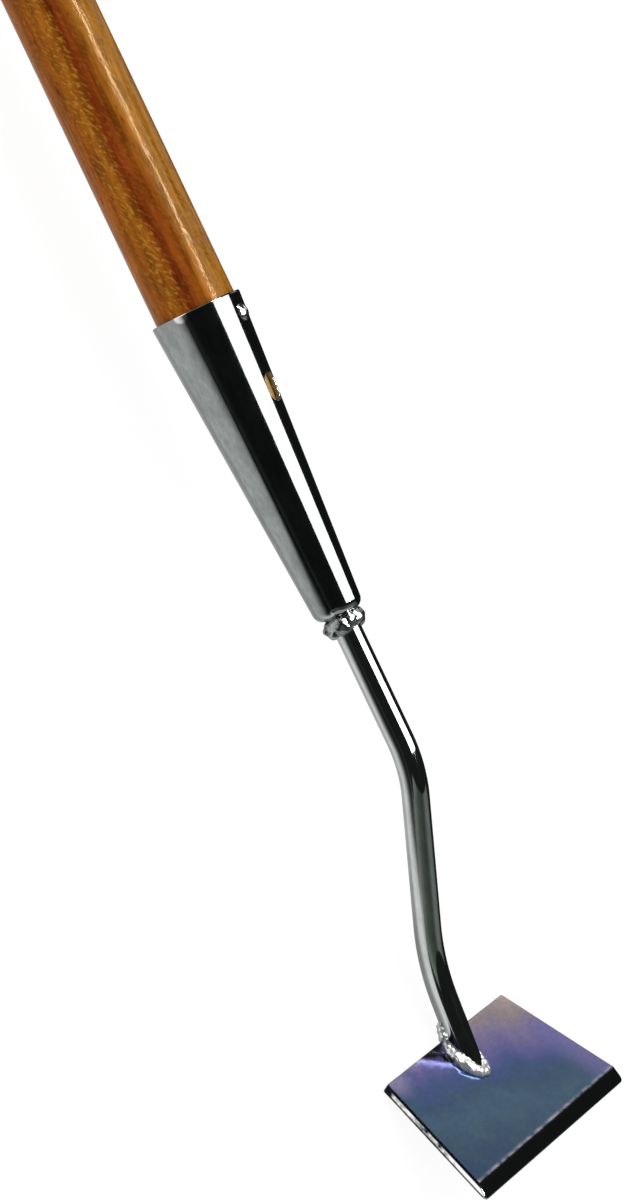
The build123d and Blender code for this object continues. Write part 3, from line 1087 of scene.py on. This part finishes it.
def melted(name, node, beads, place, voxel, seed, material):
    """Run a row of beads together as weld metal: fused, smoothed, and left a little uneven."""
    bm = bmesh.new()
    for centre, radius in beads:
        made = bmesh.ops.create_icosphere(bm, subdivisions=3, radius=radius)
        bmesh.ops.translate(bm, vec=centre, verts=made["verts"])
    mesh = bpy.data.meshes.new(name)
    bm.to_mesh(mesh)
    bm.free()
    lump = bpy.data.objects.new(name, mesh)
    bpy.context.scene.collection.objects.link(lump)
    fuse = lump.modifiers.new("fuse", "REMESH")
    fuse.mode = "VOXEL"
    fuse.voxel_size = voxel
    soften = lump.modifiers.new("soften", "SMOOTH")
    soften.factor = 0.5
    soften.iterations = 6
    apply_modifiers(lump)
    shape = bmesh.new()
    shape.from_mesh(lump.data)
    bpy.data.objects.remove(lump)
    for vert in shape.verts:
        uneven = noise.noise(vert.co * 380 + Vector((seed, 0, 0)))
        small = noise.noise(vert.co * 800 + Vector((0, seed, 0)))
        vert.co += vert.normal * (uneven * 0.00042 + small * 0.00010)
    bmesh.ops.recalc_face_normals(shape, faces=shape.faces)
    return sharpen_and_seat(shape, name, node, material, place, smooth=180.0)


def ring_beads(half_x, half_y, radius, count, swing, fuller=0.0):
    """Bead middles and radii round an oval; they may swell along the near side."""
    beads = []
    for number in range(count):
        turn = 2 * math.pi * number / count
        off_near = abs((math.degrees(turn) - 285 + 180) % 360 - 180)
        swell = fuller * math.exp(-((off_near / 42) ** 2))
        size = radius * (1 + swing * math.sin(2.4 * number) + swell)
        beads.append((Vector((half_x * math.cos(turn), half_y * math.sin(turn), 0)), size))
    return beads


def make_socket_weld(weld, socket, material):
    """The lumpy ring of weld between the socket's nose and the bar."""
    place = (
        tool_place()
        @ Matrix.Translation((socket.length + 0.0030, 0, 0))
        @ Matrix.Rotation(math.radians(80), 4, "Y")
        @ Matrix.Rotation(math.radians(15), 4, "Z")
    )
    beads = ring_beads(0.0040, 0.0040, 0.0039, 9, 0.10)
    # two drops that stand out of the ring on the near side
    for turn, along in ((-62, -0.0006), (-88, 0.0016)):
        side = math.radians(turn)
        beads.append((Vector((0.0069 * math.cos(side), 0.0069 * math.sin(side), along)), 0.0016))
    return melted("nose_weld", "socket_weld", beads, place, weld.voxel, weld.seed, material)


def make_foot_weld(weld, blade, neck, material):
    """The fillet of weld round the bar's slanted foot."""
    half = neck.diameter / 2 / math.sin(math.radians(30) + neck.foot_drop)
    place = blade_place(blade.depth, blade.thickness) @ Matrix.Translation((blade.setback + 0.0006, -0.00115, 0.0004))
    beads = ring_beads(half, neck.diameter / 2, 0.00185, 24, 0.05, 0.52)
    return melted("fillet_weld", "foot_weld", beads, place, weld.voxel, weld.seed + 3, material)


def make_heel_weld(weld, blade, neck, material):
    """The closing beads that follow the bar's round underside at the heel and spill over the back edge."""
    slant = math.radians(30) + neck.foot_drop
    radius = neck.diameter / 2
    place = blade_place(blade.depth, blade.thickness) @ Matrix.Translation(
        (-0.0003, 0, blade.setback * math.tan(slant) - 0.0003)
    )
    beads = []
    for number in range(7):
        turn = math.radians(20 * (number - 3))
        size = 0.0020 * (1 + 0.08 * math.sin(2.4 * number))
        low = -radius / math.cos(slant) * math.cos(turn)
        beads.append((Vector((0, radius * math.sin(turn), low)), size))
        if turn < 0.2:
            # two shorter rows climb the bar on the near side
            for back, share in ((0.0018, 0.82), (0.0034, 0.5)):
                beads.append((Vector((-back, radius * math.sin(turn), low + back * math.tan(slant))), size * share))
    return melted("heel_beads", "heel_weld", beads, place, weld.voxel, weld.seed + 7, material)


# Studio


def hide_from_all_but_gloss(piece):
    """A studio cloth or card that only the reflections see."""
    piece.visible_camera = False
    piece.visible_diffuse = False
    piece.visible_transmission = False
    piece.visible_volume_scatter = False
    piece.visible_shadow = False


def flat_sheet(name, low, high, axis, at, material):
    """A flat rectangle across one axis, from two corners given on the other two axes."""
    corners = [(low[0], low[1]), (high[0], low[1]), (high[0], high[1]), (low[0], high[1])]
    bm = bmesh.new()
    verts = []
    for first, second in corners:
        point = [first, second]
        point.insert(axis, at)
        verts.append(bm.verts.new(point))
    bm.faces.new(verts)
    mesh = bpy.data.meshes.new(name)
    bm.to_mesh(mesh)
    bm.free()
    mesh.materials.append(material)
    sheet = bpy.data.objects.new(name, mesh)
    bpy.context.scene.collection.objects.link(sheet)
    return sheet


def seen_directly(tree):
    """1 for rays that show the background: camera, glossy and transmission rays."""
    path = add_node(tree, "ShaderNodeLightPath")
    either = add_node(
        tree,
        "ShaderNodeMath",
        {"operation": "MAXIMUM"},
        {0: path.outputs["Is Camera Ray"], 1: path.outputs["Is Glossy Ray"]},
    )
    return add_node(
        tree,
        "ShaderNodeMath",
        {"operation": "MAXIMUM"},
        {0: either.outputs[0], 1: path.outputs["Is Transmission Ray"]},
    ).outputs[0]


def floor_material(colour):
    """White paper: bright to the eye and to the steel, plain to the light, and it keeps a soft shadow."""
    material, tree = new_material("white_paper")
    paper = add_node(tree, "ShaderNodeBsdfDiffuse", {}, {"Color": (0.78 * colour[0], 0.78 * colour[1], 0.78 * colour[2], 1)})
    lit = add_node(tree, "ShaderNodeBsdfDiffuse", {}, {"Color": (0.14 * colour[0], 0.14 * colour[1], 0.14 * colour[2], 1)})
    glow = add_node(tree, "ShaderNodeEmission", {}, {"Color": (*colour, 1), "Strength": 0.90})
    shown = add_node(tree, "ShaderNodeAddShader", {}, {0: lit.outputs[0], 1: glow.outputs[0]})
    mixed = add_node(
        tree, "ShaderNodeMixShader", {}, {"Fac": seen_directly(tree), 1: paper.outputs[0], 2: shown.outputs[0]}
    )
    add_node(tree, "ShaderNodeOutputMaterial", {}, {"Surface": mixed.outputs[0]})
    return material


def card_material(name, colour, strength):
    """An evenly lit card."""
    material, tree = new_material(name)
    glow = add_node(tree, "ShaderNodeEmission", {}, {"Color": colour, "Strength": strength})
    add_node(tree, "ShaderNodeOutputMaterial", {}, {"Surface": glow.outputs[0]})
    return material


def cloth_and_painted_shadow_material():
    """Black cloth on the floor in front of the set, its soft edge nearest to the tool under the neck, and a painted
    shadow under the bar.
    """
    material, tree = new_material("black_cloth_and_painted_shadow")
    where = add_node(tree, "ShaderNodeTexCoord")
    parts = add_node(tree, "ShaderNodeSeparateXYZ", {}, {"Vector": where.outputs["Object"]})
    out = add_node(tree, "ShaderNodeMath", {"operation": "MULTIPLY"}, {0: parts.outputs["Y"], 1: -1.0})
    outward = add_node(tree, "ShaderNodeMath", {"operation": "MAXIMUM"}, {0: out.outputs[0], 1: 0.0})
    along = add_node(
        tree, "ShaderNodeMapRange", {}, {"Value": parts.outputs["X"], "From Min": 0.3, "From Max": 1.0}
    )
    # how far out the floor has lost half its light, in half metres, from the mouth to past the blade
    reach = add_node(tree, "ShaderNodeValToRGB", {}, {"Fac": along.outputs[0]})
    set_stops(
        reach, [(0.06, 0.9), (0.34, 0.36), (0.46, 0.36), (0.51, 0.12), (0.58, 0.080), (0.64, 0.095), (0.72, 0.22), (0.83, 0.8)]
    )
    far = add_node(tree, "ShaderNodeMath", {"operation": "MULTIPLY"}, {0: reach.outputs["Color"], 1: 0.5})
    ratio = add_node(tree, "ShaderNodeMath", {"operation": "DIVIDE"}, {0: outward.outputs[0], 1: far.outputs[0]})
    steep = add_node(
        tree,
        "ShaderNodeMapRange",
        {},
        {"Value": parts.outputs["X"], "From Min": 0.62, "From Max": 0.68, "To Min": 2.0, "To Max": 4.0},
    )
    squared = add_node(tree, "ShaderNodeMath", {"operation": "POWER"}, {0: ratio.outputs[0], 1: steep.outputs[0]})
    more = add_node(tree, "ShaderNodeMath", {"operation": "ADD"}, {0: squared.outputs[0], 1: 1.0})
    cover = add_node(tree, "ShaderNodeMath", {"operation": "DIVIDE"}, {0: squared.outputs[0], 1: more.outputs[0]})
    # painted shadow: the floor's reflection is darkened right under the bar, standing in for its contact shadow, by an
    # amount that changes along the tool
    under = add_node(
        tree,
        "ShaderNodeMapRange",
        {"interpolation_type": "SMOOTHSTEP"},
        {"Value": out.outputs[0], "From Min": 0.006, "From Max": 0.018, "To Min": 1.0, "To Max": 0.0},
    )
    depth = add_node(tree, "ShaderNodeValToRGB", {}, {"Fac": along.outputs[0]})
    set_stops(depth, [(0.50, 0.34), (0.62, 0.36), (0.68, 0.65), (0.78, 0.65), (0.84, 0.30)])
    painted_under_shadow = add_node(tree, "ShaderNodeMath", {"operation": "MULTIPLY"}, {0: under.outputs[0], 1: depth.outputs["Color"]})
    most = add_node(tree, "ShaderNodeMath", {"operation": "MAXIMUM"}, {0: cover.outputs[0], 1: painted_under_shadow.outputs[0]})
    clear = add_node(tree, "ShaderNodeBsdfTransparent")
    black = add_node(tree, "ShaderNodeEmission", {}, {"Color": linear("202221"), "Strength": 1.0})
    mixed = add_node(
        tree, "ShaderNodeMixShader", {}, {"Fac": most.outputs[0], 1: clear.outputs[0], 2: black.outputs[0]}
    )
    add_node(tree, "ShaderNodeOutputMaterial", {}, {"Surface": mixed.outputs[0]})
    return material


def shaded_card(name, axis, start, end, stops):
    """A card whose brightness changes along one axis."""
    material, tree = new_material(name)
    where = add_node(tree, "ShaderNodeTexCoord")
    parts = add_node(tree, "ShaderNodeSeparateXYZ", {}, {"Vector": where.outputs["Object"]})
    along = add_node(
        tree, "ShaderNodeMapRange", {}, {"Value": parts.outputs[axis], "From Min": start, "From Max": end}
    )
    tone = add_node(tree, "ShaderNodeValToRGB", {}, {"Fac": along.outputs[0]})
    set_stops(tone, stops)
    glow = add_node(tree, "ShaderNodeEmission", {}, {"Color": tone.outputs["Color"], "Strength": 1.0})
    add_node(tree, "ShaderNodeOutputMaterial", {}, {"Surface": glow.outputs[0]})
    return material


def area_lamp(name, low, high, height, level):
    """A rectangular lamp that faces the floor; its level is its brightness, where 1 is white."""
    lamp = bpy.data.lights.new(name, "AREA")
    lamp.shape = "RECTANGLE"
    lamp.size = high[0] - low[0]
    lamp.size_y = high[1] - low[1]
    lamp.energy = level * math.pi * lamp.size * lamp.size_y
    holder = bpy.data.objects.new(name, lamp)
    holder.location = ((low[0] + high[0]) / 2, (low[1] + high[1]) / 2, height)
    holder.visible_camera = False
    holder.visible_glossy = False
    bpy.context.scene.collection.objects.link(holder)
    return holder


def build_world(fill):
    """White where the background is seen, and an even soft fill as light."""
    world = bpy.data.worlds.new("studio_world")
    world.use_nodes = True
    tree = world.node_tree
    tree.nodes.clear()
    light = add_node(tree, "ShaderNodeBackground", {}, {"Color": (1, 1, 1, 1), "Strength": fill})
    white = add_node(tree, "ShaderNodeBackground", {}, {"Color": (1, 1, 1, 1), "Strength": 1.0})
    mixed = add_node(
        tree, "ShaderNodeMixShader", {}, {"Fac": seen_directly(tree), 1: light.outputs[0], 2: white.outputs[0]}
    )
    add_node(tree, "ShaderNodeOutputWorld", {}, {"Surface": mixed.outputs[0]})
    bpy.context.scene.world = world


def build_camera():
    """The camera at the photograph's viewing angle and distance."""
    camera = bpy.data.cameras.new("photo_camera")
    camera.sensor_fit = "AUTO"
    camera.sensor_width = 36
    camera.lens = 132.727
    camera.clip_end = 50
    holder = bpy.data.objects.new("photo_camera", camera)
    right = Vector((0.4179212, 0.4654810, 0.7801726))
    up = Vector((-0.9068866, 0.2646467, 0.3279007))
    back = Vector((-0.0538386, -0.8445647, 0.5327399))
    turn = Matrix((right, up, back)).transposed().to_4x4()
    holder.matrix_world = Matrix.Translation((0.5654779, -1.3198123, 0.8616791)) @ turn
    bpy.context.scene.collection.objects.link(holder)
    bpy.context.scene.camera = holder


def build_studio(studio):
    """Floor, lamp, the cards and cloths that the steel mirrors, world and camera."""
    height = studio.lamp_height
    floor = flat_sheet("floor", (-8, -8), (8, 8), 2, 0.0, floor_material(tuple(studio.floor)))
    area_lamp("soft_box", (-1.1, -0.5), (1.2, 1.0), height, studio.lamp_level)
    box_card = card_material("soft_box_card", (1, 1, 1, 1), studio.card_level)
    hide_from_all_but_gloss(flat_sheet("soft_box_card", (0.26, -0.205), (0.95, 0.80), 2, height, box_card))
    tube = card_material("tube_card", (1, 1, 1, 1), studio.tube_level)
    hide_from_all_but_gloss(flat_sheet("tube_card", (-1.1, 0.095), (0.93, 0.205), 2, height - 0.01, tube))
    black = card_material("black_cloth", linear("202221"), 1.0)
    near = shaded_card("dim_cloth", "Z", 0.0, 2.0, [(0.0, "404341"), (0.12, "303231"), (0.3, "202221")])
    side = shaded_card(
        "grey_green_card",
        "Y",
        -2.3,
        2.1,
        [
            (0.10, "8B938D"),
            (0.23, "70776F"),
            (0.31, "59605A"),
            (0.39, "4F554F"),
            (0.45, "454B46"),
            (0.51, "525853"),
            (0.57, "787E79"),
            (0.65, "808682"),
            (0.74, "666C68"),
        ],
    )
    hide_from_all_but_gloss(flat_sheet("front_cloth", (-2.6, 0.0), (2.8, 2.0), 1, -2.4, near))
    hide_from_all_but_gloss(flat_sheet("back_cloth", (-2.6, 0.0), (2.8, 2.0), 1, 2.2, black))
    grey = shaded_card("pale_grey_card", "Z", 0.0, 2.0, [(0.0, "6C6F70"), (0.35, "A4A7A8"), (1.0, "DCDEDE")])
    hide_from_all_but_gloss(flat_sheet("butt_card", (-2.4, 0.0), (2.2, 2.0), 0, -2.6, grey))
    hide_from_all_but_gloss(flat_sheet("blade_side_card", (-1.9, 0.0), (1.05, 0.95), 0, 1.4, side))
    hide_from_all_but_gloss(flat_sheet("far_end_card", (-2.4, 0.0), (2.2, 2.0), 0, 2.8, grey))
    grey_card = card_material("mid_grey_card", linear("C4C6C4"), 1.0)
    hide_from_all_but_gloss(flat_sheet("nose_card", (-0.55, 0.0), (0.60, 0.34), 0, 1.39, grey_card))
    hide_from_all_but_gloss(flat_sheet("roof_cloth", (-2.6, -2.4), (2.8, 2.2), 2, 2.0, black))
    # the floor cloth also carries the painted shadow under the bar
    hide_from_all_but_gloss(flat_sheet("floor_cloth", (-2.6, -2.4), (1.4, 0.035), 2, 0.002, cloth_and_painted_shadow_material()))
    hide_from_all_but_gloss(flat_sheet("back_floor_cloth", (-2.6, 0.05), (1.4, 2.2), 2, 0.002, black))
    card = card_material("white_card", (1, 1, 1, 1), 0.93)
    hide_from_all_but_gloss(flat_sheet("blade_card", (0.10, 0.20), (0.49, 0.85), 1, 1.0, card))
    build_world(studio.fill)
    build_camera()


# Operators, one for each piece or group of like pieces and one for the stage


class HOE_OT_studio(bpy.types.Operator):
    """Set up the floor, the lamps, the cloths, the world and the camera"""

    bl_idname = "hoe.studio"
    bl_label = "Studio"

    def execute(self, context):
        build_studio(context.scene.hoe_studio)
        return {"FINISHED"}


class HOE_OT_shaft(bpy.types.Operator):
    """Make the varnished ash shaft"""

    bl_idname = "hoe.shaft"
    bl_label = "Ash shaft"

    def execute(self, context):
        shaft = context.scene.hoe_shaft
        make_shaft(shaft, varnished_ash(shaft))
        return {"FINISHED"}


class HOE_OT_socket(bpy.types.Operator):
    """Make the polished socket, its slot's lip and its domed pin"""

    bl_idname = "hoe.socket"
    bl_label = "Socket and pin"

    def execute(self, context):
        socket = context.scene.hoe_socket
        # painted highlight: the middle of the near-white patch on the rim's near side, 11 degrees up from level
        turn = math.radians(11)
        rim = socket.mouth_diameter / 2 - 0.0004
        spot = (0.0003, -rim * math.cos(turn), rim * math.sin(turn))
        # the socket's steel gets the painted reflection on its nose and the painted highlight on its rim
        steel = polished_steel("polished_stainless_tube", "868A89", "989C9B", 0.075, 0.07, 0.006, 0.4, 1.0, socket.length, spot)
        make_socket(socket, context.scene.hoe_neck.diameter / 2, steel)
        bright = polished_steel("polished_steel_pin", "D2D4D4", "DCDEDE", 0.16, 0.1, 0.002)
        # the slot's lip is given this paler pin steel rather than the tube's own, a painted highlight round the slot
        make_slot_lip(socket, bright)
        make_pin(socket, bright)
        return {"FINISHED"}


class HOE_OT_neck(bpy.types.Operator):
    """Make the bent swan neck"""

    bl_idname = "hoe.neck"
    bl_label = "Swan neck"

    def execute(self, context):
        scene = context.scene
        steel = polished_steel("polished_stainless_bar", "B9BDBB", "C5C9C7", 0.06, 0.06, 0.005, 0.15)
        make_neck(scene.hoe_neck, scene.hoe_blade, scene.hoe_socket.length, steel)
        return {"FINISHED"}


class HOE_OT_blade(bpy.types.Operator):
    """Make the bevelled blade"""

    bl_idname = "hoe.blade"
    bl_label = "Blade"

    def execute(self, context):
        blade = context.scene.hoe_blade
        make_blade(blade, heat_tinted_blade_with_painted_reflection(blade))
        return {"FINISHED"}


class HOE_OT_welds(bpy.types.Operator):
    """Make the three runs of weld"""

    bl_idname = "hoe.welds"
    bl_label = "Welds"

    def execute(self, context):
        scene = context.scene
        dull = polished_steel("brushed_weld_metal", "767A79", "ACAFAE", 0.20, 0.3, 0.0024, 0.6)
        make_socket_weld(scene.hoe_weld, scene.hoe_socket, dull)
        # painted highlight: the foot and heel welds are given a near-white metal that is partly diffuse, so they look
        # lit white
        metal = polished_steel("weld_metal_painted_white", "F0F1F1", "F8F8F8", 0.27, 0.5, 0.0022, 0.0, 0.88)
        make_foot_weld(scene.hoe_weld, scene.hoe_blade, scene.hoe_neck, metal)
        make_heel_weld(scene.hoe_weld, scene.hoe_blade, scene.hoe_neck, metal)
        return {"FINISHED"}


class VIEW3D_PT_dutch_hoe(bpy.types.Panel):
    """Lists the hoe's pieces and their sizes"""

    bl_idname = "VIEW3D_PT_dutch_hoe"
    bl_label = "Dutch hoe"
    bl_space_type = "VIEW_3D"
    bl_region_type = "UI"
    bl_category = "Hoe"

    def draw(self, context):
        layout = self.layout
        for name, (group, operators) in GROUPS.items():
            column = layout.box().column()
            for operator in operators:
                column.operator(operator)
            settings = getattr(context.scene, name)
            for key in group.__annotations__:
                column.prop(settings, key)


GROUPS = {
    "hoe_studio": (StudioSettings, ["hoe.studio"]),
    "hoe_shaft": (ShaftSettings, ["hoe.shaft"]),
    "hoe_socket": (SocketSettings, ["hoe.socket"]),
    "hoe_neck": (NeckSettings, ["hoe.neck"]),
    "hoe_blade": (BladeSettings, ["hoe.blade"]),
    "hoe_weld": (WeldSettings, ["hoe.welds"]),
}

OPERATORS = (HOE_OT_studio, HOE_OT_shaft, HOE_OT_socket, HOE_OT_neck, HOE_OT_blade, HOE_OT_welds)


def register():
    for name, (group, _) in GROUPS.items():
        bpy.utils.register_class(group)
        setattr(bpy.types.Scene, name, PointerProperty(type=group))
    for operator in OPERATORS:
        bpy.utils.register_class(operator)
    bpy.utils.register_class(VIEW3D_PT_dutch_hoe)


def unregister():
    bpy.utils.unregister_class(VIEW3D_PT_dutch_hoe)
    for operator in reversed(OPERATORS):
        bpy.utils.unregister_class(operator)
    for name, (group, _) in GROUPS.items():
        delattr(bpy.types.Scene, name)
        bpy.utils.unregister_class(group)


def main():
    """Register, and build everything in order."""
    register()
    bpy.context.scene.view_settings.view_transform = "Standard"
    bpy.ops.hoe.studio()
    bpy.ops.hoe.shaft()
    bpy.ops.hoe.socket()
    bpy.ops.hoe.neck()
    bpy.ops.hoe.blade()
    bpy.ops.hoe.welds()


if __name__ == "__main__":
    main()
